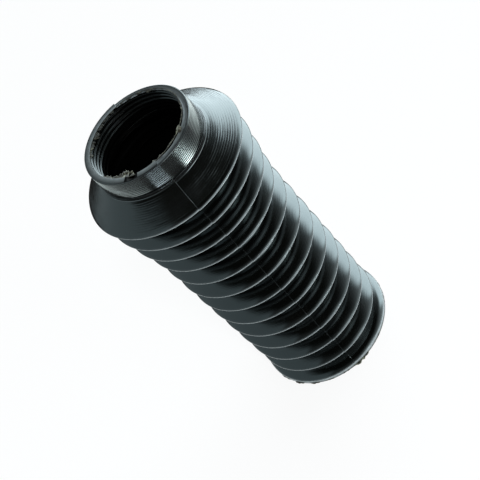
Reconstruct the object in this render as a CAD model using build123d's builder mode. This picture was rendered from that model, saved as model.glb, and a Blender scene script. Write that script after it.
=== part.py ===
"""Rubber bellows boot: a one-piece moulded gaiter that folds along a sliding tube.

The boot stands on its lower mouth. +Z runs up its axis to the ribbed collar, and the origin is
the centre of the lower mouth's end face. All sizes are in millimetres, for the boot at rest.

The section is one closed outline in the XZ plane, turned about Z into a single solid. It is
listed down the outside from the rim to the lower lip, and back up the inside.
"""

from build123d import *
import os

# Whole boot
boot_height = 154.0

# Collar: a plain sleeve, gripped from outside by a band
collar_radius = 23.8
rim_bevel = 0.3
collar_height = 12.7  # rim down to the shoulder
groove_drop = 10.3  # rim down to the witness groove round the collar's foot
groove_width = 0.6
groove_depth = 0.3

# Collar bore, with ribs that bite on the tube
bore_radius = 21.0
bore_length = 13.7  # rim down to the corner under the shoulder
rib_radius = 20.3
rib_count = 6
rib_pitch = 2.1
rib_drop = 1.85  # rim down to the middle of the first rib
rib_tip = 0.7

# Crests, counted down from the shoulder, with the lower lip after the last of them
shoulder_radius = 36.0
shoulder_step = 1.55  # each shoulder crest is this much smaller than the one above
body_radius = 30.6
body_step = 0.1  # the body closes in this much from crest to crest
shoulder_folds = 3
upper_folds = 5
lower_folds = 4
shoulder_pitch = 10.7
upper_pitch = 11.5
lower_pitch = 11.2

# Fold section
fold_depth = 6.6  # crest in to the valley beside it
crest_land = 1.1
valley_land = 1.8
crest_wall = 3.6
valley_wall = 1.7
ridge_land = 5.6  # inner face of a valley

# Lower lip, which presses over the slider
lip_radius = 31.0
lip_height = 1.75
mouth_radius = 27.0
mouth_depth = 1.8

fold_pitches = [shoulder_pitch] * shoulder_folds + [upper_pitch] * upper_folds
fold_pitches += [lower_pitch] * lower_folds
crest_heights = [sum(fold_pitches[fold:]) for fold in range(len(fold_pitches))]


def crest_radius(crest):
    """Radius over a crest, 0 being the shoulder's."""
    if crest <= shoulder_folds:
        return shoulder_radius - shoulder_step * crest
    return body_radius - body_step * (crest - shoulder_folds - 1)


def valley(crest):
    """Outer radius and height of the valley just below a crest."""
    upper = crest_radius(crest)
    lower = crest_radius(crest + 1) if crest + 1 < len(crest_heights) else lip_radius
    height = crest_heights[crest] - fold_pitches[crest] / 2
    return (upper + lower) / 2 - fold_depth, height


def collar_outside():
    """Rim, band seat and witness groove, down to the shoulder."""
    groove_height = boot_height - groove_drop
    return [
        (collar_radius - rim_bevel, boot_height),
        (collar_radius, boot_height - rim_bevel),
        (collar_radius, groove_height + groove_width / 2),
        (collar_radius - groove_depth, groove_height),
        (collar_radius, groove_height - groove_width / 2),
        (collar_radius, boot_height - collar_height),
    ]


def folds_outside():
    """Narrow crests and flat-bottomed valleys, down to the last valley."""
    points = []
    for crest, height in enumerate(crest_heights):
        radius = crest_radius(crest)
        valley_radius, valley_height = valley(crest)
        points += [
            (radius, height + crest_land / 2),
            (radius, height - crest_land / 2),
            (valley_radius, valley_height + valley_land / 2),
            (valley_radius, valley_height - valley_land / 2),
        ]
    return points


def lower_lip():
    """The end lip, from the last flank round to the mouth's bore."""
    return [
        (lip_radius, lip_height),
        (lip_radius, 0),
        (mouth_radius, 0),
        (mouth_radius, mouth_depth),
    ]


def folds_inside():
    """Ridges behind the valleys and creases behind the crests, back up to the shoulder."""
    points = []
    for crest in reversed(range(len(crest_heights))):
        valley_radius, valley_height = valley(crest)
        points += [
            (valley_radius - valley_wall, valley_height - ridge_land / 2),
            (valley_radius - valley_wall, valley_height + ridge_land / 2),
            (crest_radius(crest) - crest_wall, crest_heights[crest]),
        ]
    return points


def collar_inside():
    """Corner under the shoulder and the ribbed bore, up to the rim."""
    points = [(bore_radius, boot_height - bore_length)]
    for rib in reversed(range(rib_count)):
        middle = boot_height - rib_drop - rib_pitch * rib
        points += [
            (bore_radius, middle - rib_pitch / 2),
            (rib_radius, middle - rib_tip / 2),
            (rib_radius, middle + rib_tip / 2),
        ]
    return points + [(bore_radius, boot_height)]


outline = collar_outside() + folds_outside() + lower_lip() + folds_inside() + collar_inside()

with BuildPart() as bellows_boot:
    with BuildSketch(Plane.XZ):
        with BuildLine():
            Polyline(outline, close=True)
        make_face()
    revolve(axis=Axis.Z)

bellows_boot.part.label = "bellows_boot"
os.makedirs("parts", exist_ok=True)
export_step(bellows_boot.part, "parts/bellows_boot.step")
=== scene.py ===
# %% [markdown]
# # A rubber bellows boot
#
# The boot is one moulding of black rubber: a short ribbed collar, a broad shoulder, and a row of
# deep round folds down to a plain lip. This lesson draws its section as a chain of points, turns
# it on a lathe with Spin, and then adds what the mould leaves behind: a parting line, a step
# between the two mould halves, torn flash and fine turning marks.

# %% Load the frame
import math
import random

import bmesh
import bpy
from mathutils import Matrix, Vector, noise


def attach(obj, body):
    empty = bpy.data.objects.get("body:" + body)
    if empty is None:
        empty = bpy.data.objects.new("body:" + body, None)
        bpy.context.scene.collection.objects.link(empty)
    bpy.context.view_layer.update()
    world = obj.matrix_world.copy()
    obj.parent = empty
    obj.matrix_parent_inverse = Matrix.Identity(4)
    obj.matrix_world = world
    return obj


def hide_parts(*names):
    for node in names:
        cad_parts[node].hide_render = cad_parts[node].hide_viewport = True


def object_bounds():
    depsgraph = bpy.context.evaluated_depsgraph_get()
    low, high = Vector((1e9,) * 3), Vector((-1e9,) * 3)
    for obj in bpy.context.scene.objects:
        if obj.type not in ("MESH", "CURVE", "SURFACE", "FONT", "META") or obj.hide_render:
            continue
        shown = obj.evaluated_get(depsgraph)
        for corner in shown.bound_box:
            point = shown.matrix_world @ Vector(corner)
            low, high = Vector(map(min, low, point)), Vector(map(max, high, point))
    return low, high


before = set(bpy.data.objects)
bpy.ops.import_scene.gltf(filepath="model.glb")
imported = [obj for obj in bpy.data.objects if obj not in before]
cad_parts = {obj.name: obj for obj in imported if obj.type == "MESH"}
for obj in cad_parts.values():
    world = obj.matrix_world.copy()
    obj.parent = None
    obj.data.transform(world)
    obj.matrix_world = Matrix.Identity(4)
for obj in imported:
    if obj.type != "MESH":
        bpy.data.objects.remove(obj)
cad_low, cad_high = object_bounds()
print("CAD box", [round(value, 4) for value in [*cad_low, *cad_high]])

# %% [markdown]
# The section is written in millimetres, as a mould drawing would be, and every point is turned
# into metres only when it is drawn. The overall height and the widest radius come from the frame,
# so the rubber stays inside the CAD part. A drop is measured down from the rim.

# %% Sizes of the collar
MM = 0.001
boot_height = (cad_high.z - cad_low.z) / MM

collar_radius = 23.8
collar_draft = 0.35
groove_drop = 9.4
groove_width = 0.5
groove_depth = 0.6
foot_drop = 11.3
foot_radius = 25.3
foot_flare = 0.1
foot_step = 0.4

bore_radius = 21.0
bore_length = 14.3
rib_radius = 20.5
rib_count = 6
rib_pitch = 2.1
rib_drop = 1.85
print("boot height", round(boot_height, 2), "mm")

# %% [markdown]
# The folds close in quickly over the shoulder and slowly below it, and their pitch changes twice.
# A slope is the rise of a flank for each millimetre inwards, at the crest and then at the valley.
# The stops say where a flank gets its points, as shares of the fold's depth.

# %% Sizes of the folds and the lip
shoulder_radius = cad_high.x / MM - 0.08
shoulder_step = 1.55
body_radius = 30.6
body_step = 0.1
shoulder_folds = 3
fold_pitches = [10.7] * shoulder_folds + [11.5] * 5 + [11.2] * 4
fold_depth = 6.6

crest_walls = 3.6
crest_land = 0.5
crest_flare = 0.22
flare_reach = 0.5
valley_wall = 1.7
valley_land = 2.5
ridge_land = 4.6

fold_slopes = (0.78, 0.52)
shoulder_slopes = (0.74, 0.67)
upper_stops = (0.04, 0.09, 0.17, 0.33, 0.55, 0.8)
shoulder_stops = upper_stops + (1.1, 1.35)
lower_stops = (0.06, 0.3, 0.65)

lip_radius = 30.95
lip_height = 1.5
mouth_radius = 27.0
mouth_depth = 1.8

fold_count = len(fold_pitches)
crest_heights = [sum(fold_pitches[fold:]) for fold in range(fold_count)]
print("crests at", [round(height, 1) for height in crest_heights])


# %% [markdown]
# Each crest is a blunt nose: a narrow land with small round corners, below a flank that steepens
# over its last half millimetre. The valleys are rounder. Every point of the section has a third
# number: how far from the corner its rounding begins. Zero leaves the corner sharp.

# %% Outside of the collar
def collar_outside():
    """Rim, band seat and witness groove, down to the shoulder."""
    groove = boot_height - groove_drop
    foot = boot_height - foot_drop
    seat = collar_radius + collar_draft
    return [
        (collar_radius, boot_height, 0.4),
        (seat, groove + groove_width / 2, 0.06),
        (seat - groove_depth, groove, 0.05),
        (seat, groove - groove_width / 2, 0.06),
        (seat + foot_flare, foot, 0.25),
        (foot_radius, foot - foot_step, 0.3),
    ]


section = collar_outside()
print("points on the collar", len(section))


# %% [markdown]
# All flanks are drawn by one function. It leans each flank a little less towards the valley, so
# that the fold is slightly hollow, and it lists the points from the top of the boot downwards.

# %% Outside of the folds
def crest_radius(crest):
    """Radius over a crest in millimetres, 0 being the shoulder's."""
    if crest <= shoulder_folds:
        return shoulder_radius - shoulder_step * crest
    return body_radius - body_step * (crest - shoulder_folds - 1)


def valley(crest):
    """Outer radius and height of the valley just below a crest."""
    lower = crest_radius(crest + 1) if crest + 1 < fold_count else lip_radius
    radius = (crest_radius(crest) + lower) / 2 - fold_depth
    return radius, crest_heights[crest] - fold_pitches[crest] / 2


def flank(radius, height, side, stops, slopes=fold_slopes, depth=fold_depth):
    """One flank, from the crest inwards; side is 1 above the crest and -1 below it."""
    points = [(radius, height + side * crest_land / 2, 0.22)]
    for stop in stops:
        inward = fold_depth * stop
        rise = crest_land / 2 + slopes[0] * inward
        rise -= (slopes[0] - slopes[1]) / (2 * depth) * inward ** 2
        rise += crest_flare * (1.0 - math.exp(-inward / flare_reach))
        points.append((radius - inward, height + side * rise, 0.0))
    return points if side < 0 else points[::-1]


def fold_outside(crest):
    """One crest and the valley below it."""
    radius = crest_radius(crest)
    height = crest_heights[crest]
    valley_radius, valley_height = valley(crest)
    upper = flank(radius, height, 1, upper_stops)
    if crest == 0:
        upper = flank(radius, height, 1, shoulder_stops, shoulder_slopes, radius - foot_radius)
    return upper + flank(radius, height, -1, lower_stops) + [
        (valley_radius, valley_height + valley_land / 2, 0.7),
        (valley_radius, valley_height - valley_land / 2, 0.7),
    ]


for crest in range(fold_count):
    section += fold_outside(crest)
print("points down to the last valley", len(section))


# %% [markdown]
# The section turns round the lower lip and climbs back up the inside. Behind each valley is a
# ridge and behind each crest a crease, so that the wall stays about equally thick. The ribs in
# the collar's bore have a steep upper side, which grips the tube.

# %% Lip, inside and bore
rib_profile = (
    (bore_radius, -0.85, 0.20),
    (rib_radius, -0.35, 0.15),
    (rib_radius, 0.30, 0.08),
    (bore_radius, 0.48, 0.08),
)


def lip_outside():
    """The last flank and the end lip, whose face the boot stands on."""
    return flank(lip_radius, lip_height, 1, upper_stops) + [
        (lip_radius, 0.0, 0.2),
        (mouth_radius, 0.0, 0.3),
        (mouth_radius, mouth_depth, 0.3),
    ]


def folds_inside():
    """Ridges behind the valleys and creases behind the crests, back up to the shoulder."""
    points = []
    for crest in reversed(range(fold_count)):
        valley_radius, valley_height = valley(crest)
        ridge_radius = valley_radius - valley_wall
        points += [
            (ridge_radius, valley_height - ridge_land / 2, 0.9),
            (ridge_radius, valley_height + ridge_land / 2, 0.9),
            (crest_radius(crest) - crest_walls, crest_heights[crest], 0.45),
        ]
    return points


def collar_inside():
    """The ribbed bore, up to the rim."""
    points = [(bore_radius, boot_height - bore_length, 0.8)]
    for rib in reversed(range(rib_count)):
        middle = boot_height - rib_drop - rib_pitch * rib
        points += [(radius, middle + rise, rounding) for radius, rise, rounding in rib_profile]
    return points + [(bore_radius, boot_height, 0.12)]


section += lip_outside() + folds_inside() + collar_inside()
print("section points", len(section))


# %% [markdown]
# A few small helpers keep the modelling readable. Operators act on everything that is selected, so
# each step starts by deselecting. `pick` then selects by a test on place or normal, and `on_all`
# runs an operator on a whole mesh.

# %% Selection helpers
def only(obj):
    """Makes obj the active and only selected object."""
    if bpy.context.object and bpy.context.object.mode != "OBJECT":
        bpy.ops.object.mode_set(mode="OBJECT")
    bpy.ops.object.select_all(action="DESELECT")
    obj.select_set(True)
    bpy.context.view_layer.objects.active = obj


def edit(obj, elements="VERT"):
    """Enters edit mode on obj with nothing selected."""
    only(obj)
    bpy.ops.object.mode_set(mode="EDIT")
    bpy.ops.mesh.select_mode(type=elements)
    bpy.ops.mesh.select_all(action="DESELECT")


def leave():
    """Returns to object mode."""
    bpy.ops.object.mode_set(mode="OBJECT")


def pick(obj, test, kind="verts"):
    """Selects the parts of obj, in edit mode, that pass the test, and counts them."""
    mesh = bmesh.from_edit_mesh(obj.data)
    for item in getattr(mesh, kind):
        item.select_set(bool(test(item)))
    mesh.select_flush_mode()
    bmesh.update_edit_mesh(obj.data)
    return sum(item.select for item in getattr(mesh, kind))


def on_all(obj, operator, **settings):
    """Runs an operator on everything in obj, in edit mode."""
    edit(obj)
    bpy.ops.mesh.select_all(action="SELECT")
    operator(**settings)
    leave()


print("selected at the start", len(bpy.context.selected_objects))


# %% [markdown]
# Points are tested by how far they are from the axis, by their bearing round it and by their
# height, all in the units of the drawing. A bearing is in degrees from the parting line at the
# front, and grows to the right.

# %% Measures of a point
def across(point):
    """Distance of a point from the boot's axis, in millimetres."""
    return math.hypot(point.x, point.y) / MM


def bearing_of(point):
    """Bearing of a point round the axis, in degrees."""
    return math.degrees(math.atan2(point.x, -point.y))


print("bearing of the right-hand side", round(bearing_of(Vector((1, 0, 0)))))


# %% [markdown]
# ## The section as a chain
#
# A plane merged to its centre is a single point, and extruding that point draws the section edge
# by edge. The chain stands just beside the parting plane, on one side of it or the other.

# %% Draw the chain
parting_gap = math.radians(0.09)
same_place = 2e-6


def place(radius, height, side):
    """A section point in metres, beside the parting plane, on the side given as 1 or -1."""
    return Vector((
        side * radius * math.sin(parting_gap) * MM,
        -radius * math.cos(parting_gap) * MM,
        height * MM,
    ))


def stands_on(places):
    """A test for points that stand on one of the places."""
    return lambda vertex: any((vertex.co - spot).length < same_place for spot in places)


def draw_section(name, side):
    """Draws the closed section as a chain of edges."""
    bpy.ops.mesh.primitive_plane_add(size=MM, location=(0, 0, 0))
    chain = bpy.context.object
    chain.name = name
    bpy.ops.object.mode_set(mode="EDIT")
    bpy.ops.mesh.select_all(action="SELECT")
    bpy.ops.mesh.merge(type="CENTER")
    points = [place(radius, height, side) for radius, height, _ in section]
    bpy.ops.transform.translate(value=points[0])
    for before, after in zip(points, points[1:]):
        bpy.ops.mesh.extrude_vertices_move(TRANSFORM_OT_translate={"value": after - before})
    pick(chain, stands_on([points[0], points[-1]]))
    bpy.ops.mesh.edge_face_add()
    leave()
    return chain


sides = {"left_half": -1, "right_half": 1}
halves = [draw_section(name, side) for name, side in sides.items()]
print("points on the drawn chain", len(halves[0].data.vertices))


# %% [markdown]
# Vertex Bevel rounds each corner by its own amount, which gives true arcs on the crests and
# valleys and leaves the flanks straight. The corners of one rounding are bevelled together. Wide
# roundings get more segments, but the widest are in the dark inside, where few are enough.

# %% Round the corners
def segments_for(rounding):
    """Number of segments in the arc of a rounding."""
    if rounding < 0.22 or rounding > 0.75:
        return 2
    return 3 if rounding < 0.5 else 4


def round_corners(chain, side):
    """Bevels the chain's corners, one size of rounding at a time."""
    for size in sorted({rounding for *_, rounding in section if rounding > 0}):
        corners = [place(r, h, side) for r, h, rounding in section if rounding == size]
        edit(chain)
        pick(chain, stands_on(corners))
        bpy.ops.mesh.bevel(offset=size * MM, segments=segments_for(size), affect="VERTICES")
    leave()


for half, side in zip(halves, sides.values()):
    round_corners(half, side)
print("points on the rounded chain", len(halves[0].data.vertices))


# %% [markdown]
# ## Two mould halves, slightly out of step
#
# The mould's two halves sat at different heights on its core, so every fold has a small jog at
# the parting line. Each half's chain is moved down by its own amount, between the lower lip and
# the band seat, before it is spun. On the right the collar's foot and groove are lower still.

# %% Step the halves
steps = (0.22, 0.50)
collar_step = 0.40
step_foot = lip_height + 2.5
bore_foot = boot_height - bore_length + 0.5
groove_top = boot_height - groove_drop + 0.8
foot_bottom = boot_height - foot_drop - 1.5
outside_bore = bore_radius + 1.0


def in_step(vertex):
    """True between the lower lip and the collar's band seat, except in the bore."""
    top = groove_top if across(vertex.co) > outside_bore else bore_foot
    return step_foot < vertex.co.z / MM < top


def at_foot(vertex):
    """True on the groove and foot of the collar."""
    return foot_bottom < vertex.co.z / MM < groove_top and across(vertex.co) > outside_bore


def lower(half, test, step):
    """Moves the tested points of a half down by a step in millimetres."""
    edit(half)
    moved = pick(half, test)
    bpy.ops.transform.translate(value=(0, 0, -step * MM))
    leave()
    print("points lowered on the", half.name, moved)


for half, step in zip(halves, steps):
    lower(half, in_step, step)
lower(halves[1], at_foot, collar_step)


# %% [markdown]
# The crests are rubbed pale, and the same pale colour paints the highlight that the gloss would put
# on each crest's nose. A vertex attribute says how near each point of the section is to the edge of
# a crest. It is set while the section is still a chain, where the distance is easy to measure, and
# Spin copies it round with the points.

# %% Wear and painted highlight along the crests
wear_highlight_reach = 0.42
wear_highlight_drop = 0.28
rim_wear_highlight = 0.35
rubbed_or_highlit = 0.4

# Pale lines along the crests and the rim: partly wear, partly a painted highlight.
worn_and_highlit_edges = [
    (crest_radius(crest), height - wear_highlight_drop, 1.0) for crest, height in enumerate(crest_heights)
]
worn_and_highlit_edges += [(lip_radius, lip_height, 1.0), (bore_radius, boot_height, rim_wear_highlight)]


def edge_wear_and_highlight(radius, height):
    """How rubbed and painted-highlit a point is, from its radius and height in millimetres."""
    return max(
        strength * math.exp(-(math.hypot(radius - r, height - h) / wear_highlight_reach) ** 2)
        for r, h, strength in worn_and_highlit_edges
    )


for half, step in zip(halves, steps):
    wear = half.data.attributes.new("wear", "FLOAT", "POINT")
    for vertex, value in zip(half.data.vertices, wear.data):
        stepped = step_foot - step < vertex.co.z / MM < groove_top - step
        height = vertex.co.z / MM + (step if stepped else 0.0)
        value.value = edge_wear_and_highlight(across(vertex.co), height)
    print(half.name, "rubbed points", sum(value.value > rubbed_or_highlit for value in wear.data))

# %% [markdown]
# Spin turns each chain through almost half a circle, one to the left and one to the right, and
# leaves a thin gap between the halves at the front and at the back.

# %% Turn the section
half_steps = 72

for half, turn in zip(halves, (1, -1)):
    on_all(
        half,
        bpy.ops.mesh.spin,
        steps=half_steps,
        angle=turn * (math.pi - 2 * parting_gap),
        center=(0, 0, 0),
        axis=(0, 0, 1),
    )
    print(half.name, "points", len(half.data.vertices))

# %% [markdown]
# The rim was cut a little out of square, and the two mould halves met it at different heights, so
# each half's rim is lowered and tilted by its own amount while the halves are still apart.

# %% Cut the rim
rim_band = boot_height - 0.7
rim_cuts = (0.35, 0.90)
rim_tilts = (0.85, 1.7)

for half, drop, tilt in zip(halves, rim_cuts, rim_tilts):
    edit(half)
    cut = pick(half, lambda vertex: vertex.co.z / MM > rim_band)
    bpy.ops.transform.translate(value=(0, 0, -drop * MM))
    bpy.ops.transform.rotate(
        value=-math.radians(tilt),
        orient_axis="Y",
        center_override=(0, 0, (boot_height - drop) * MM),
    )
    leave()
    print(half.name, "rim points", cut)

# %% [markdown]
# Joined into one object, the halves are still apart by the two gaps. Bridge Edge Loops closes
# each gap between its two open edges. The front bridge gets one cut, whose middle line becomes
# the parting line. A closed mesh has no open edge left.

# %% Bridge the parting planes
def join(name, objects):
    """Joins objects into the first of them and names it."""
    only(objects[0])
    for obj in objects[1:]:
        obj.select_set(True)
    bpy.ops.object.join()
    joined = bpy.context.view_layer.objects.active
    joined.name = joined.data.name = name
    return joined


boot = join("boot_skin", halves)
for front_gap in (True, False):
    edit(boot, "EDGE")
    pick(
        boot,
        lambda edge: edge.is_boundary and (edge.verts[0].co.y < 0) == front_gap,
        kind="edges",
    )
    bpy.ops.mesh.bridge_edge_loops(number_cuts=1 if front_gap else 0, interpolation="LINEAR")
on_all(boot, bpy.ops.mesh.normals_make_consistent, inside=False)

edit(boot, "EDGE")
print("open edges", pick(boot, lambda edge: edge.is_boundary, kind="edges"))
leave()


# %% [markdown]
# The parting line stands out a few hundredths of a millimetre, unevenly, where rubber crept
# between the mould halves. It stands out most on the shoulder.

# %% Raise the parting line
seam_height = 0.010
seam_waver = 1.1
waver_scale = 0.9
cone_seam = 0.05
cone_foot = crest_heights[0] + 0.6
seam_width = 0.01


def faces_out(vertex):
    """True on the outside of the boot, where the surface looks away from the axis."""
    return vertex.normal.x * vertex.co.x + vertex.normal.y * vertex.co.y > 1e-4 * MM


def shift(test, move):
    """Moves the boot's points that pass a test by what move gives for each, and counts them."""
    edit(boot)
    picked = pick(boot, test)
    mesh = bmesh.from_edit_mesh(boot.data)
    for vertex in mesh.verts:
        if vertex.select:
            vertex.co += move(vertex)
    bmesh.update_edit_mesh(boot.data)
    leave()
    return picked


def on_seam(vertex):
    """True on the parting line at the front."""
    return abs(vertex.co.x) < seam_width * MM and vertex.co.y < 0 and faces_out(vertex)


def stand_out(vertex):
    """The move that raises a point of the parting line."""
    waver = noise.noise(Vector((0, 0, vertex.co.z / MM * waver_scale)))
    height = seam_height * (1.0 + seam_waver * waver)
    height += cone_seam if vertex.co.z / MM > cone_foot else 0.0
    return Vector((0, -height * MM, 0))


print("points raised on the parting line", shift(on_seam, stand_out))


# %% [markdown]
# The collar sits a little askew on the shoulder. A ring of points is tilted by moving each point
# down by its distance to the right. The groove and the collar's foot tilt together on the outside,
# more on the right half, and the ribs tilt on the inside.

# %% Tilt the groove and the ribs
collar_tilts = (1.4, 2.5)
rib_tilts = (2.2, 2.2)
ribs_from = boot_height - 15.5
ribs_to = boot_height - 1.0


def tilt_ring(low, high, full, fading, tilts, outside):
    """Tilts the points between two heights, in full up to one radius and fading out at another."""
    def in_ring(vertex):
        inside_ring = low < vertex.co.z / MM < high and across(vertex.co) < fading
        return inside_ring and faces_out(vertex) == outside

    def lean(vertex):
        share = min(1.0, (fading - across(vertex.co)) / (fading - full))
        tilt = math.radians(tilts[0] if vertex.co.x < 0 else tilts[1])
        return Vector((0, 0, -vertex.co.x * math.tan(tilt) * share))

    return shift(in_ring, lean)


foot_points = tilt_ring(
    crest_heights[0], groove_top, full=foot_radius, fading=35.9, tilts=collar_tilts, outside=True
)
rib_points = tilt_ring(ribs_from, ribs_to, full=21.5, fading=22.0, tilts=rib_tilts, outside=False)
print("foot points", foot_points, "rib points", rib_points)

# %% [markdown]
# One tear took a bite out of the rim's inner edge. The points there go down, and those nearest
# the bore go back a little as well.

# %% Bite in the rim
bite_from = -34.0
bite_to = -26.0
bite_radius = 22.5
bite_edge = 21.2
bite_foot = boot_height - 2.2
bite_drop = 1.0
bite_spread = 1.03

bitten = 0
for vertex in boot.data.vertices:
    radius = across(vertex.co)
    in_bite = bite_from < bearing_of(vertex.co) < bite_to and radius < bite_radius
    if in_bite and vertex.co.z / MM > bite_foot:
        vertex.co.z -= bite_drop * MM
        vertex.co.xy *= bite_spread if radius < bite_edge else 1.0
        bitten += 1
print("points in the bite", bitten)

# %% [markdown]
# Smooth by Angle keeps the corners of the groove and the lips sharp. The Weighted Normal modifier
# then lets the large faces decide the shading, so that the flanks look straight and only the
# narrow roundings beside them look round.

# %% Smooth the boot
only(boot)
bpy.ops.object.shade_smooth()
bpy.ops.object.shade_smooth_by_angle(angle=math.radians(40))
boot.modifiers.new("weigh", "WEIGHTED_NORMAL").keep_sharp = True
bpy.ops.object.modifier_apply(modifier="weigh")
triangles = sum(len(polygon.vertices) - 2 for polygon in boot.data.polygons)
print("triangles on the boot", triangles)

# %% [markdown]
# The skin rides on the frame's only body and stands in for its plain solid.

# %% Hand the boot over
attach(boot, "root")
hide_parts("bellows_boot")
print(boot.name, "stands in for bellows_boot")

# %% [markdown]
# ## Torn flash at the rim
#
# Where the core left the mould, a thin skin of rubber was torn off by hand. A ragged film is left
# along the bore's edge. It starts as a circle, extruded inwards in five rings.

# %% A sheet in rings
film_points = 540
film_rings = 5
ring_reach = 0.2
film_height = boot_height - 0.35


def settle(obj):
    """Puts obj's place into its mesh, so that the object sits at the origin."""
    only(obj)
    bpy.ops.object.transform_apply(location=True, rotation=True, scale=True)


def ring_sheet(name, radius, height, towards):
    """A flat sheet in rings a millimetre wide, growing inwards (-1) or outwards (1)."""
    middle = (0, 0, height * MM)
    bpy.ops.mesh.primitive_circle_add(
        vertices=film_points, radius=radius * MM, location=middle, fill_type="NOTHING"
    )
    sheet = bpy.context.object
    sheet.name = sheet.data.name = name
    settle(sheet)
    for ring in range(film_rings):
        edge_radius = radius + towards * ring
        edit(sheet)
        pick(sheet, lambda vertex: abs(across(vertex.co) - edge_radius) < ring_reach)
        bpy.ops.mesh.extrude_edges_move()
        wider = (edge_radius + towards) / edge_radius
        bpy.ops.transform.resize(value=(wider, wider, 1), center_override=middle)
    leave()
    return sheet


rim_sheet = ring_sheet("rim_flash", bore_radius, film_height, -1)
print("points on the rim's sheet", len(rim_sheet.data.vertices))


# %% [markdown]
# Each point is then drawn back to the film's width at its bearing. The width is a small uneven
# margin with a bulge at every tear, and noise keeps both ragged. A second attribute grows from 0 at
# the mould's edge to 1 at the torn one. At the back it stays low, so the flash there is darker.

# %% Tear the sheet
margin_waves = 7.0
margin_teeth = 31.0
tear_teeth = 23.0
sunk_in = 0.25
front_from = -60.0
front_to = 50.0
back_edge_share = 0.3


def ragged_width(bearing, tears, base, seed):
    """Width of a torn film in millimetres; tears are (bearing, half angle, width)."""
    spot = Vector((math.cos(bearing), math.sin(bearing), seed))
    margin = 0.5 + noise.noise(spot * margin_waves) + 0.9 * noise.noise(spot * margin_teeth)
    width = base * max(0.1, margin)
    for centre, half_angle, reach in tears:
        away = (math.degrees(bearing) - centre + 180.0) % 360.0 - 180.0
        bulge = max(0.0, 1.0 - abs(away / half_angle) ** 3)
        width += reach * bulge * (0.72 + 0.55 * noise.noise(spot * tear_teeth))
    return width


def tear(film, radius, height, towards, tears, base, curl, seed):
    """Draws a sheet's points back to a ragged edge that curls by a share of its width."""
    edge = film.data.attributes.new("edge", "FLOAT", "POINT")
    for vertex, value in zip(film.data.vertices, edge.data):
        flat = Vector(vertex.co.xy)
        step = abs(flat.length / MM - radius) / film_rings
        # Away from the front the edge value is cut to a share, which makes the flash darker there.
        at_front = front_from < bearing_of(vertex.co) < front_to
        value.value = step * (1.0 if at_front else back_edge_share)
        bearing = math.atan2(flat.x, -flat.y)
        width = ragged_width(bearing, tears, base, seed)
        out = (radius + towards * (step * width - sunk_in)) * MM
        wave = noise.noise(Vector((bearing * 9.0, step * 2.0, seed))) * 0.8
        sag = curl * width * step * (1.0 + wave) + 0.12 * wave * step
        vertex.co.xy = flat.normalized() * out
        vertex.co.z = (height + sag) * MM


rim_tears = [
    (-63, 9, 1.3), (-53, 4, 1.9), (-45, 4, 3.2), (-39, 4.5, 4.0), (-29, 1.6, 2.2), (-2, 1.6, 1.5),
    (7, 1.6, 1.0), (22, 7, 0.5), (44, 3, 1.7), (137, 5, 1.6), (150, 4, 0.8), (163, 4, 0.8),
    (172, 3, 0.7), (-172, 4, 1.0), (-162, 5, 1.3), (-151, 5, 1.9), (-140, 5, 2.2), (-127, 6, 1.5),
    (-112, 6, 0.8),
]
tear(rim_sheet, bore_radius, film_height, -1, rim_tears, base=0.5, curl=-0.25, seed=3.1)
print("tears in the rim's film", len(rim_tears))


# %% [markdown]
# Solidify gives the torn sheet its thickness, which closes it into a thin solid. A solid whose
# faces look inwards measures a negative volume, and is turned right side out.

# %% Thicken the film
def thicken(film, thickness):
    """Makes a closed solid of a torn sheet and hands it over."""
    film.modifiers.new("thickness", "SOLIDIFY").thickness = thickness * MM
    only(film)
    bpy.ops.object.modifier_apply(modifier="thickness")
    on_all(film, bpy.ops.mesh.normals_make_consistent, inside=False)
    volume = sum(face.center.dot(face.normal) * face.area for face in film.data.polygons) / 3
    if volume < 0.0:
        on_all(film, bpy.ops.mesh.flip_normals)
    bpy.ops.object.shade_smooth_by_angle(angle=math.radians(50))
    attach(film, "root")
    print(film.name, "faces", len(film.data.polygons))


thicken(rim_sheet, 0.22)


# %% [markdown]
# ## Crumbs
#
# The thicker tears end in crumbs. Each is a small ball pushed in and out by noise. They sit on the
# film's edge, at seeded places within each tear.

# %% Crumbs on the tears
dice = random.Random(11)
squash = 0.75
lumps = 1.6
grit = 4.2


def crumb(bearing, radius, height, size):
    """A rough ball; bearing in degrees from the parting line, the rest in millimetres."""
    turn = math.radians(bearing)
    centre = Vector((radius * math.sin(turn), -radius * math.cos(turn), height)) * MM
    bpy.ops.mesh.primitive_ico_sphere_add(subdivisions=3, radius=size * MM, location=centre)
    ball = bpy.context.object
    shift = dice.random() * 50.0
    for vertex in ball.data.vertices:
        direction = vertex.co.normalized()
        rough = noise.noise(direction * lumps + Vector((shift, 0, 0)))
        rough += 0.55 * noise.noise(direction * grit + Vector((0, shift, 0)))
        vertex.co *= 1.0 + 0.55 * rough
        vertex.co.z *= squash
    settle(ball)
    return ball


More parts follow.
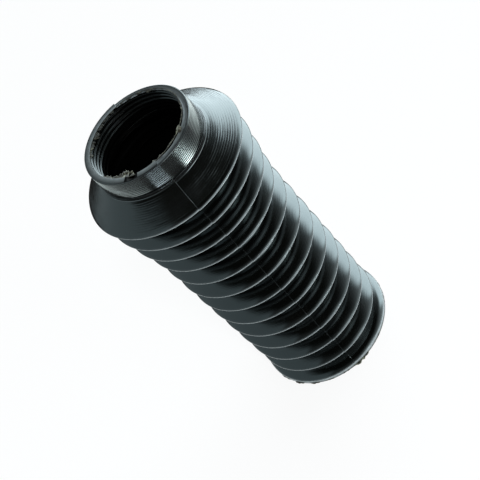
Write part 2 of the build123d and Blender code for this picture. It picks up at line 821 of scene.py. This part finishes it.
# Bearing, half the spread of bearings, radius, size and number of each group.
crumb_groups = [
    (-50, 3, 20.0, 0.45, 7), (-45, 3, 19.2, 0.55, 8), (-40, 3, 18.3, 0.6, 9),
    (-31, 1.5, 19.2, 0.45, 4), (-53, 3, 20.7, 0.25, 3), (-1, 2, 20.6, 0.3, 3),
    (42, 1.8, 20.5, 0.9, 4), (40, 2, 20.7, 0.3, 2), (-128, 5, 20.4, 0.4, 4),
    (-140, 5, 20.1, 0.5, 5), (-151, 5, 20.2, 0.5, 5), (-164, 4, 20.5, 0.35, 3),
    (136, 4, 20.3, 0.45, 4), (150, 3, 20.6, 0.3, 2),
]
balls = []
for centre, spread, radius, size, count in crumb_groups:
    for _ in range(count):
        grain_size = size * dice.uniform(0.55, 1.1)
        balls.append(crumb(
            centre + dice.uniform(-spread, spread),
            radius + dice.uniform(-0.4, 0.4),
            film_height - grain_size * dice.uniform(0.75, 1.6),
            grain_size,
        ))
crumbs = join("rim_crumbs", balls)
bpy.ops.object.shade_smooth_by_angle(angle=math.radians(60))
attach(crumbs, "root")
print("crumbs", len(balls), "faces", len(crumbs.data.polygons))

# %% [markdown]
# ## Flash at the lower lip
#
# The lower lip was trimmed with a knife close to the rubber. A low ragged edge is left on one side,
# and a thin tab where the parting line meets the end face. The same three steps make it.

# %% Lip flash
lip_flash_height = 0.32
lip_tears = [
    (6, 9.5, 1.8), (-12, 2, 0.5), (-8, 1.5, 0.45), (-25, 5, 0.45), (-40, 5, 0.75), (-55, 5, 0.9),
    (-71, 6, 0.6), (32, 8, 0.3), (64, 9, 0.3), (140, 12, 0.5), (-150, 10, 0.4), (179, 7, 1.2),
]
lip_sheet = ring_sheet("lip_flash", lip_radius, lip_flash_height, 1)
tear(lip_sheet, lip_radius, lip_flash_height, 1, lip_tears, base=0.16, curl=0.02, seed=8.4)
thicken(lip_sheet, 0.3)


# %% [markdown]
# ## Rubber
#
# Shader sums read best as sums. `Value` wraps one socket and overloads the operators, each of
# which adds one Math node. Python takes a swapped one where the number comes first: 1.0 - value.

# %% Sums of sockets
def sums(operation, swapped=False):
    """A method that adds a Math node for the value and what it is summed with."""
    def method(value, *others):
        terms = [*others, value] if swapped else [value, *others]
        return value.finish.add("Math", terms, operation=operation)
    return method


class Value:
    """One number socket of a material, on which sums can be written; angles are in radians."""

    __add__ = sums("ADD")
    __radd__ = sums("ADD", swapped=True)
    __sub__ = sums("SUBTRACT")
    __rsub__ = sums("SUBTRACT", swapped=True)
    __mul__ = sums("MULTIPLY")
    __rmul__ = sums("MULTIPLY", swapped=True)
    __truediv__ = sums("DIVIDE")
    __pow__ = sums("POWER")
    sine = sums("SINE")
    arc_sine = sums("ARCSINE")
    angle = sums("ARCTAN2")  # of the direction (other, self)
    size = sums("ABSOLUTE")  # the value without its sign

    def __init__(self, finish, socket):
        self.finish = finish
        self.socket = socket

    def ramp(self, start, end):
        """0 at start and 1 at end, with a soft run between them."""
        inputs = {"Value": self, "From Min": start, "From Max": end}
        return self.finish.add("MapRange", inputs, interpolation_type="SMOOTHSTEP")

    def between(self, low, high, soft):
        """1 between low and high, with soft ends."""
        return self.ramp(low, low + soft) * self.ramp(high, high - soft)

    def clamped(self):
        """The value held between 0 and 1."""
        return self.finish.add("Clamp", {"Value": self, "Min": 0.0, "Max": 1.0})


print("operators on a value", sum(callable(part) for part in vars(Value).values()))


# %% [markdown]
# `Finish` adds the other nodes. It sets a node up before it fills the inputs, because some
# settings decide which inputs there are. A colour ramp's stops are positions and colours.

# %% Nodes of a finish
def rgb(red, green, blue):
    """A colour as a shader socket wants it."""
    return (red, green, blue, 1.0)


class Finish:
    """A material or world, and the one way in which nodes are added to it."""

    def __init__(self, owner):
        owner.use_nodes = True
        self.owner = owner
        self.tree = owner.node_tree
        self.tree.nodes.clear()

    def put(self, socket, value):
        """Links a Value to a socket, or sets the socket's own value."""
        if isinstance(value, Value):
            self.tree.links.new(value.socket, socket)
        else:
            socket.default_value = value

    def set_stops(self, ramp, stops):
        """Gives a colour ramp its stops."""
        while len(ramp) < len(stops):
            ramp.new(0.5)
        for element, (position, colour) in zip(ramp, stops):
            element.position = position
            element.color = colour

    def add(self, kind, inputs=(), output=0, **settings):
        """Adds a ShaderNode of a kind, with inputs by name or in order, and gives one output."""
        node = self.tree.nodes.new("ShaderNode" + kind)
        for name, value in settings.items():
            if name == "stops":
                self.set_stops(node.color_ramp.elements, value)
            else:
                setattr(node, name, value)
        pairs = inputs.items() if isinstance(inputs, dict) else enumerate(inputs)
        for name, value in pairs:
            self.put(node.inputs[name], value)
        return Value(self, node.outputs[output]) if node.outputs else node

    def mix(self, factor, first, second):
        """A colour between first and second."""
        return self.add("Mix", {0: factor, 6: first, 7: second}, output=2, data_type="RGBA")

    def place(self):
        """Object coordinates, whole and as three numbers."""
        spot = self.add("TexCoord", output="Object")
        parts = self.add("SeparateXYZ", [spot]).socket.node
        return spot, *(Value(self, parts.outputs[axis]) for axis in ("X", "Y", "Z"))

    def noise(self, spot, scale, detail):
        """Noise of a scale, at the place given."""
        return self.add("TexNoise", {"Vector": spot, "Scale": scale, "Detail": detail})

    def bump(self, relief, depth):
        """A bump of a relief, depth in millimetres."""
        return self.add("Bump", {"Strength": 1.0, "Distance": depth * MM, "Height": relief})

    def attribute(self, name):
        """A number that the mesh carries."""
        return self.add("Attribute", output="Fac", attribute_name=name)

    def surface(self, shader):
        """Links the last shader to the output, and gives the owner back."""
        self.add("OutputMaterial", {"Surface": shader})
        print(self.owner.name, "nodes", len(self.tree.nodes))
        return self.owner


print("a finish can", [name for name in vars(Finish) if not name.startswith("_")])


# %% [markdown]
# The mould was turned on a lathe, and the rubber keeps its marks. They run round the boot, so they
# follow the section: down the collar and outwards over the shoulder. `run` measures along it.
# Fine grain, long streaks and the cutter's wave all come from it.

# %% Marks of the lathe
collar_pitch = 0.86
shoulder_pitch = 1.3


class Marks:
    """The patterns in the rubber's surface, with the cutter's marks a pitch apart."""

    def __init__(self, finish, pitch):
        spot, self.x, self.y, self.z = finish.place()
        radius = (self.x * self.x + self.y * self.y) ** 0.5
        run = radius - self.z
        self.slow, self.faint, self.scuff, self.grain = (
            finish.noise(spot, scale, detail)
            for scale, detail in ((45.0, 2.0), (160.0, 3.0), (420.0, 4.0), (2600.0, 4.0))
        )
        stretched = finish.add("CombineXYZ", [self.x * 90.0, self.y * 90.0, run * 1300.0])
        self.streak = finish.noise(stretched, 1.0, 3.0)
        self.wave = (run * (2 * math.pi / (pitch * MM)) + self.slow * 4.0).sine()

    def relief(self, rings, streaks):
        """Height of the surface: grain, cuts at the wave's bottom, and streaks."""
        cuts = (0.5 - self.wave * 0.5) ** 6.0 * (self.faint * 1.5 - 0.1).clamped()
        return self.grain * 0.06 - cuts * rings + (self.streak - 0.5) * streaks


print("cutter's marks", collar_pitch, "mm apart, on the shoulder", shoulder_pitch, "mm")


# %% [markdown]
# The rubber is nearly black, bluer in some places and browner in others. Dust lies in its grain,
# the shoulder is a little greyer, and the crests and the parting line are rubbed pale, which also
# paints their highlights.

# %% Colour, wear and painted highlights of the rubber
seam_reach = 0.16 * MM
rim_top = (boot_height - 2.0) * MM
cone_start = 134.6 * MM
# Pale colour of the crests and the parting line: wear and a painted highlight.
worn_and_highlight_colour = rgb(0.39, 0.425, 0.435)
grey_dust = rgb(0.12, 0.12, 0.11)
print("parting line rubbed pale over", round(2 * seam_reach / MM, 2), "mm")


def wear_and_highlight_share(finish, marks, seam):
    """How far the rubber is pale from wear and painted highlight; seam is the strength of the
    parting line's pale line.
    """
    in_front = (0.0 - marks.y * 1e4).clamped()
    line = (1.0 - marks.x.size() / seam_reach).clamped() * in_front
    crests = finish.attribute("wear") * (marks.scuff * 0.9 + 0.55)
    return (crests + line * seam * (marks.scuff * 3.0 - 0.7)).clamped()


def rubber_colour(finish, marks, worn_or_highlit):
    """Black, dusted rubber, rubbed pale and painted with highlights on the crests and the parting
    line.
    """
    on_shoulder = ((marks.z - cone_start) * 800.0).clamped()
    grey = on_shoulder * 0.014 * (marks.streak * 0.8 + 0.6)
    dust = (marks.grain * marks.slow * 3.2 - 0.9).clamped() * 0.03
    black = finish.mix(marks.slow, rgb(0.0005, 0.0006, 0.0006), rgb(0.0011, 0.0011, 0.0009))
    dusted = finish.mix((dust + grey).clamped(), black, grey_dust)
    return finish.mix(worn_or_highlit, dusted, worn_and_highlight_colour)


# %% [markdown]
# One function makes the four rubbers of the outside and the bore. Where the lathe's marks are
# fine, they stretch the gloss up and down, which Anisotropic does. On the collar a coat of uneven
# weight stands for bands that the cutter polished.

# %% Moulded rubber
def moulded(
    name, rings, streaks, roughness,
    shine=0.5, smear=0.0, pitch=collar_pitch, seam=0.0, lathe=0.0,
):
    """Black rubber; smear stretches its gloss across the turning marks, a pitch apart."""
    finish = Finish(bpy.data.materials.new(name))
    marks = Marks(finish, pitch)
    relief = marks.relief(rings, streaks)
    if not smear:
        near_rim = ((marks.z - rim_top) * 2000.0).clamped()
        relief = relief * (1.0 - near_rim * 0.85)
    worn_or_highlit = wear_and_highlight_share(finish, marks, seam)
    return finish.surface(finish.add("BsdfPrincipled", {
        "Base Color": rubber_colour(finish, marks, worn_or_highlit),
        "Roughness": marks.faint * 0.03 + marks.streak * 0.05 + worn_or_highlit * 0.25 + roughness,
        "IOR": 1.8,
        "Specular IOR Level": shine,
        "Specular Tint": rgb(0.88, 0.99, 1.0),
        "Anisotropic": smear,
        "Anisotropic Rotation": 0.25,
        "Coat Weight": (marks.wave * 0.5 + 0.5) ** 2.0 * lathe,
        "Coat Roughness": 0.09,
        "Coat IOR": 2.4,
        "Normal": finish.bump(relief, 0.04),
    }))


folds = moulded("moulded_rubber", rings=0.10, streaks=0.25, roughness=0.08, seam=0.05)
collar = moulded(
    "turned_collar",
    rings=0.6, streaks=0.3, roughness=0.10, shine=0.6, smear=0.6, seam=0.12, lathe=1.0,
)
shoulder = moulded(
    "turned_shoulder",
    rings=1.0, streaks=1.6, roughness=0.13, smear=0.6, pitch=shoulder_pitch, seam=0.15,
)
bore = moulded("ribbed_bore", rings=0.0, streaks=0.1, roughness=0.08, shine=0.26)

# %% [markdown]
# The core leaves the inside of the folds dull. It has a rubber of its own, darker and almost
# without gloss, because any gloss down there would mirror the bright floor: painted shade in the
# hollows.

# %% Dull rubber, painted shade
# Painted shade: a darker rubber with almost no gloss, for the hollows.
shaded_dull_rubber = Finish(bpy.data.materials.new("dull_shaded_inside"))
spot, *_ = shaded_dull_rubber.place()
chalk = shaded_dull_rubber.noise(spot, 300.0, 4.0)
dull_shade = shaded_dull_rubber.surface(shaded_dull_rubber.add("BsdfPrincipled", {
    "Base Color": shaded_dull_rubber.mix(chalk, rgb(0.0003, 0.0003, 0.0003), rgb(0.0008, 0.0008, 0.0007)),
    "Roughness": 0.30 + chalk * 0.2,
    "Specular IOR Level": 0.016,
}))


# %% [markdown]
# Each face takes its rubber from its place. The witness groove, the part of the bore behind it, the
# bite, the grooves between the ribs and everything below the bore get the dull rubber, which paints
# their shade.

# %% Share out the rubbers
finishes = [folds, collar, shoulder, bore, dull_shade]
collar_skin = collar_radius + collar_draft
dull_shade_bore_drop = bore_length - 2.0
collar_end_drop = 13.5
cone_end_drop = boot_height - crest_heights[0] - 0.9


def is_dull_shade(middle, drop):
    """True in and behind the witness groove, and in the bite."""
    in_groove = across(middle) < collar_skin - 0.12 and 8.0 < drop < 12.0
    in_bite = bite_from - 4.0 < bearing_of(middle) < bite_to + 2.5 and across(middle) < 22.6
    return in_groove or (in_bite and 0.05 < drop < 3.0)


def finish_of(face):
    """The rubber of a face."""
    middle, normal = face.center, face.normal
    drop = boot_height - middle.z / MM
    if is_dull_shade(middle, drop):
        return dull_shade
    if normal.x * middle.x + normal.y * middle.y < -1e-4 * MM:
        between_ribs = abs(across(middle) - bore_radius) < 0.12 and abs(normal.z) < 0.6
        return dull_shade if between_ribs or drop > dull_shade_bore_drop else bore
    if across(middle) < collar_skin + 0.3 and drop < collar_end_drop and normal.z < 0.6:
        return collar
    return shoulder if foot_drop - 1.0 < drop < cone_end_drop else folds


boot.data.materials.clear()
for material in finishes:
    boot.data.materials.append(material)
for face in boot.data.polygons:
    face.material_index = finishes.index(finish_of(face))
for slot, material in enumerate(finishes):
    print(material.name, "faces", sum(f.material_index == slot for f in boot.data.polygons))

# %% [markdown]
# Torn rubber is rough and dusty, olive-brown in its hollows and pale along its edges. At the back
# of the rim it is darker.

# %% Torn rubber
torn = Finish(bpy.data.materials.new("torn_rubber"))
spot, _, y, _ = torn.place()
blotch = torn.noise(spot, 500.0, 3.0)
fine = torn.noise(spot, 2200.0, 4.0)
pale = ((blotch - 0.50) * 7.0 + torn.attribute("edge") ** 3.0 * 1.3 - 0.3).clamped()
dirt = torn.mix((fine * 2.0 - 0.6).clamped(), rgb(0.004, 0.004, 0.003), rgb(0.045, 0.040, 0.024))
front_colour = torn.mix(pale, dirt, rgb(0.175, 0.175, 0.125))
# Darker towards the back of the rim.
behind = (y * 60.0).clamped() * 0.7
crumbly = torn.surface(torn.add("BsdfPrincipled", {
    "Base Color": torn.mix(behind, front_colour, rgb(0.008, 0.008, 0.006)),
    "Roughness": 0.45 + fine * 0.3,
    "IOR": 1.5,
    "Normal": torn.bump(fine, 0.08),
}))
for piece in (rim_sheet, crumbs, lip_sheet):
    piece.data.materials.clear()
    piece.data.materials.append(crumbly)

# %% [markdown]
# ## Camera
#
# The camera looks down on the boot from in front and above, a little to one side of the parting
# line. `right`, `front` and `back` are the directions that it and the lights are placed by: back
# runs from the boot to the camera.

# %% Directions
camera_turn = math.radians(5.5)
camera_elevation = math.radians(43.05)

sky = Vector((0, 0, 1))
right = Vector((math.cos(camera_turn), math.sin(camera_turn), 0))
front = Vector((math.sin(camera_turn), -math.cos(camera_turn), 0))
back = front * math.cos(camera_elevation) + sky * math.sin(camera_elevation)
up = back.cross(right)
print("camera looks along", [round(value, 3) for value in -back])

# %% [markdown]
# It is rolled an eighth of a turn, so that the boot runs across the picture's diagonal. The focal
# length is known in pixels, which the sensor's width turns into millimetres.

# %% Camera
camera_distance = 540.9 * MM
aim_height = 75.3 * MM
aim_side = -0.576 * MM
picture_width = 480
focal_pixels = 1278.0
sensor_width = 36.0

camera_data = bpy.data.cameras.new("camera")
camera_data.sensor_width = sensor_width
camera_data.lens = focal_pixels / picture_width * sensor_width
camera_data.clip_start = 10 * MM
camera = bpy.data.objects.new("camera", camera_data)
bpy.context.scene.collection.objects.link(camera)
rolled_right = (right - up).normalized()
rolled_up = (right + up).normalized()
turned = Matrix((rolled_right, rolled_up, back)).transposed()
camera.rotation_mode = "QUATERNION"
camera.rotation_quaternion = turned.to_quaternion()
camera.location = right * aim_side + sky * aim_height + back * camera_distance
bpy.context.scene.camera = camera
print("lens", round(camera_data.lens, 2), "mm")


# %% [markdown]
# ## Studio
#
# Black rubber shows what stands round it more than its own colour. The boot stands on a white
# sheet without end. In the rubber's gloss the sheet has an edge, beyond which a ring of light and
# dark cards lies on the floor, widest to the right and behind. They give the collar its upright
# bands of light. Their distances are in millimetres from the boot's axis.

# %% Floor
floor_size = 12.0
degrees = 180.0 / math.pi
cards_start = 190
cards_width = 36
rear_width = 90.0

bpy.ops.mesh.primitive_grid_add(
    x_subdivisions=4, y_subdivisions=4, size=floor_size, location=(0, 0, 0)
)
floor = bpy.context.object
floor.name = "floor"

# Bearing in degrees from the camera's side of the boot, and level of the cards there.
card_levels = [
    (-180, 0.9), (-130, 0.8), (-110, 1.2), (-90, 1.15), (-70, 1.2), (-55, 1.0), (-50, 0.1),
    (-40, 0.1), (-38, 4.6), (-27, 4.6), (-14, 4.0), (-12, 1.6), (-7, 0.6), (-5, 0.02),
    (17, 0.02), (20, 1.0), (24, 8.0), (28, 13.5), (37, 13.5), (43, 8.0), (50, 3.2), (56, 1.7),
    (63, 0.8), (75, 0.7), (90, 0.9), (105, 1.5), (130, 2.1), (150, 1.9), (180, 1.2),
]


def card_stop(angle, level):
    """A card's stop on a ramp of bearings; the cards just left of the middle are bluer."""
    blue = 1.08 if -42 < angle < -13 else 0.99
    return angle / 360 + 0.5, rgb(level * 0.87, level, level * blue)


paper = Finish(bpy.data.materials.new("white_paper"))
_, x, y, _ = paper.place()
reach = (x * x + y * y) ** 0.5 / MM
bearing = (x * right.x + y * right.y).angle(x * front.x + y * front.y) * degrees
stops = [card_stop(angle, level) for angle, level in card_levels]
cards = paper.add("ValToRGB", {"Fac": bearing / 360.0 + 0.5}, stops=stops)
tabletop = paper.mix(reach.ramp(cards_start, cards_start + 8), rgb(0.90, 0.93, 0.94), cards)
cards_end = bearing.ramp(75, 105) * rear_width + (cards_start + cards_width)
tabletop = paper.mix((reach - cards_end).ramp(0, 10), tabletop, rgb(0.03, 0.03, 0.03))
print("cards round the boot", len(card_levels))

# %% [markdown]
# The camera sees the sheet as white, with the boot's soft shadow on it. The gloss sees the cards,
# and all other light meets a plain grey floor.

# %% What the floor shows
mirrored = paper.add("Emission", {"Color": tabletop, "Strength": 1.0})
bounced = paper.add("BsdfDiffuse", {"Color": rgb(0.45, 0.45, 0.45)})
matt = paper.add("BsdfDiffuse", {"Color": rgb(0.95, 0.95, 0.95)})
glow = paper.add("Emission", {"Color": rgb(1, 1, 1), "Strength": 1.0})
white_sheet = paper.add("MixShader", [0.88, matt, glow])
in_gloss = paper.add("LightPath", output="Is Glossy Ray")
seen = paper.add("LightPath", output="Is Camera Ray")
sheet = paper.add("MixShader", [in_gloss, bounced, mirrored])
floor.data.materials.append(paper.surface(paper.add("MixShader", [seen, sheet, white_sheet])))

# %% [markdown]
# The room is painted on the world as soft-edged panels, whose places are angles: round to the
# right from the wall behind the boot, and up from the floor.

# %% Angles of the room
world = bpy.data.worlds.new("studio")
bpy.context.scene.world = world
air = Finish(world)
look = air.add("TexCoord", output="Generated")


def part_along(direction):
    """How far the look direction points along another one."""
    return air.add("VectorMath", [look, direction], output="Value", operation="DOT_PRODUCT")


def fading(stops):
    """A level that changes with the height, from stops of elevation in degrees and level."""
    greys = [(elevation / 90, rgb(level, level, level)) for elevation, level in stops]
    return air.add("ValToRGB", {"Fac": rise / 90.0}, stops=greys)


round_from_back = part_along(right).angle(part_along(-front)) * degrees
rise = part_along(sky).arc_sine() * degrees
print("nodes for the angles", len(air.tree.nodes))

# %% [markdown]
# A grey wall stands behind and to the left, higher at its ends, and a dimmer one in front on the
# left. A large bright softbox stands to the right and behind, and a weaker one to the right and in
# front; both fade with height. The dark ceiling keeps the front of the folds black.

# %% Walls and softboxes
dark_room = rgb(0.010, 0.011, 0.009)
softbox_fall = (
    (0, 0.68), (8, 0.76), (30, 0.76), (34, 0.64), (37.5, 0.38), (40, 0.14), (44, 0.04),
    (50, 0.015), (56, 0.0),
)
side_fall = ((0, 1.0), (31, 1.0), (37, 0.65), (42, 0.36), (47, 0.15), (52, 0.03), (56, 0.0))

wall_top = (round_from_back + 75.0).size() * 0.15 + 46.2
wall = round_from_back.between(-130, 14, 12) * (rise - wall_top).ramp(4, -4)
straight_behind = (1.0 - (round_from_back.size() - 20.0) / 40.0).clamped()
wall_colour = air.mix(straight_behind, rgb(0.42, 0.51, 0.54), rgb(0.46, 0.54, 0.56))

front_left = (round_from_back.ramp(-118, -130) + round_from_back.ramp(176, 184)).clamped()
front_left = front_left * rise.ramp(56, 50) * (0.12 + 0.4 * rise.ramp(42, 28))

side_height = fading(side_fall)
side = round_from_back.between(84, 190, 14) * side_height * 0.4
side = side + round_from_back.between(128, 176, 20) * side_height * 0.6
bright = round_from_back.between(4, 97, 14) * fading(softbox_fall)

room = air.mix(wall, dark_room, wall_colour)
room = air.mix(front_left, room, rgb(0.9, 1.0, 1.03))
room = air.mix(side, room, rgb(2.9, 3.2, 3.3))
room = air.mix(bright, room, rgb(6.6, 7.6, 8.0))

room_light = air.add("Background", {"Color": room, "Strength": 1.0})
white = air.add("Background", {"Color": rgb(1, 1, 1), "Strength": 1.0})
straight = air.add("LightPath", output="Is Camera Ray")
air.add("OutputWorld", {"Surface": air.add("MixShader", [straight, room_light, white])})
print("nodes of the room", len(air.tree.nodes))

# %% [markdown]
# One soft lamp above the camera lights what is dull: the pale crest lines, which are rubbed and
# painted highlights, the torn flash and the table, where it throws the boot's soft shadow. It is
# kept out of the gloss, which the painted walls already fill.

# %% Lamp above the camera
lamp_turn = math.radians(5.0)
lamp_rise = math.radians(50.0)
lamp_distance = 0.9
lamp_size = 0.12
lamp_power = 3.2

lamp_data = bpy.data.lights.new("front_softbox", "AREA")
lamp_data.shape = "DISK"
lamp_data.size = lamp_size
lamp_data.energy = lamp_power
lamp = bpy.data.objects.new("front_softbox", lamp_data)
bpy.context.scene.collection.objects.link(lamp)
level_way = front * math.cos(lamp_turn) + right * math.sin(lamp_turn)
lamp_way = level_way * math.cos(lamp_rise) + sky * math.sin(lamp_rise)
lamp.location = lamp_way * lamp_distance + sky * (boot_height / 2 * MM)
lamp.rotation_mode = "QUATERNION"
lamp.rotation_quaternion = lamp_way.to_track_quat("Z", "Y")
lamp.visible_camera = False
lamp.visible_glossy = False
print("lamp at", [round(value, 3) for value in lamp.location])

# %% [markdown]
# Standard keeps the colours as they were chosen.

# %% Colour management
bpy.context.scene.view_settings.view_transform = "Standard"
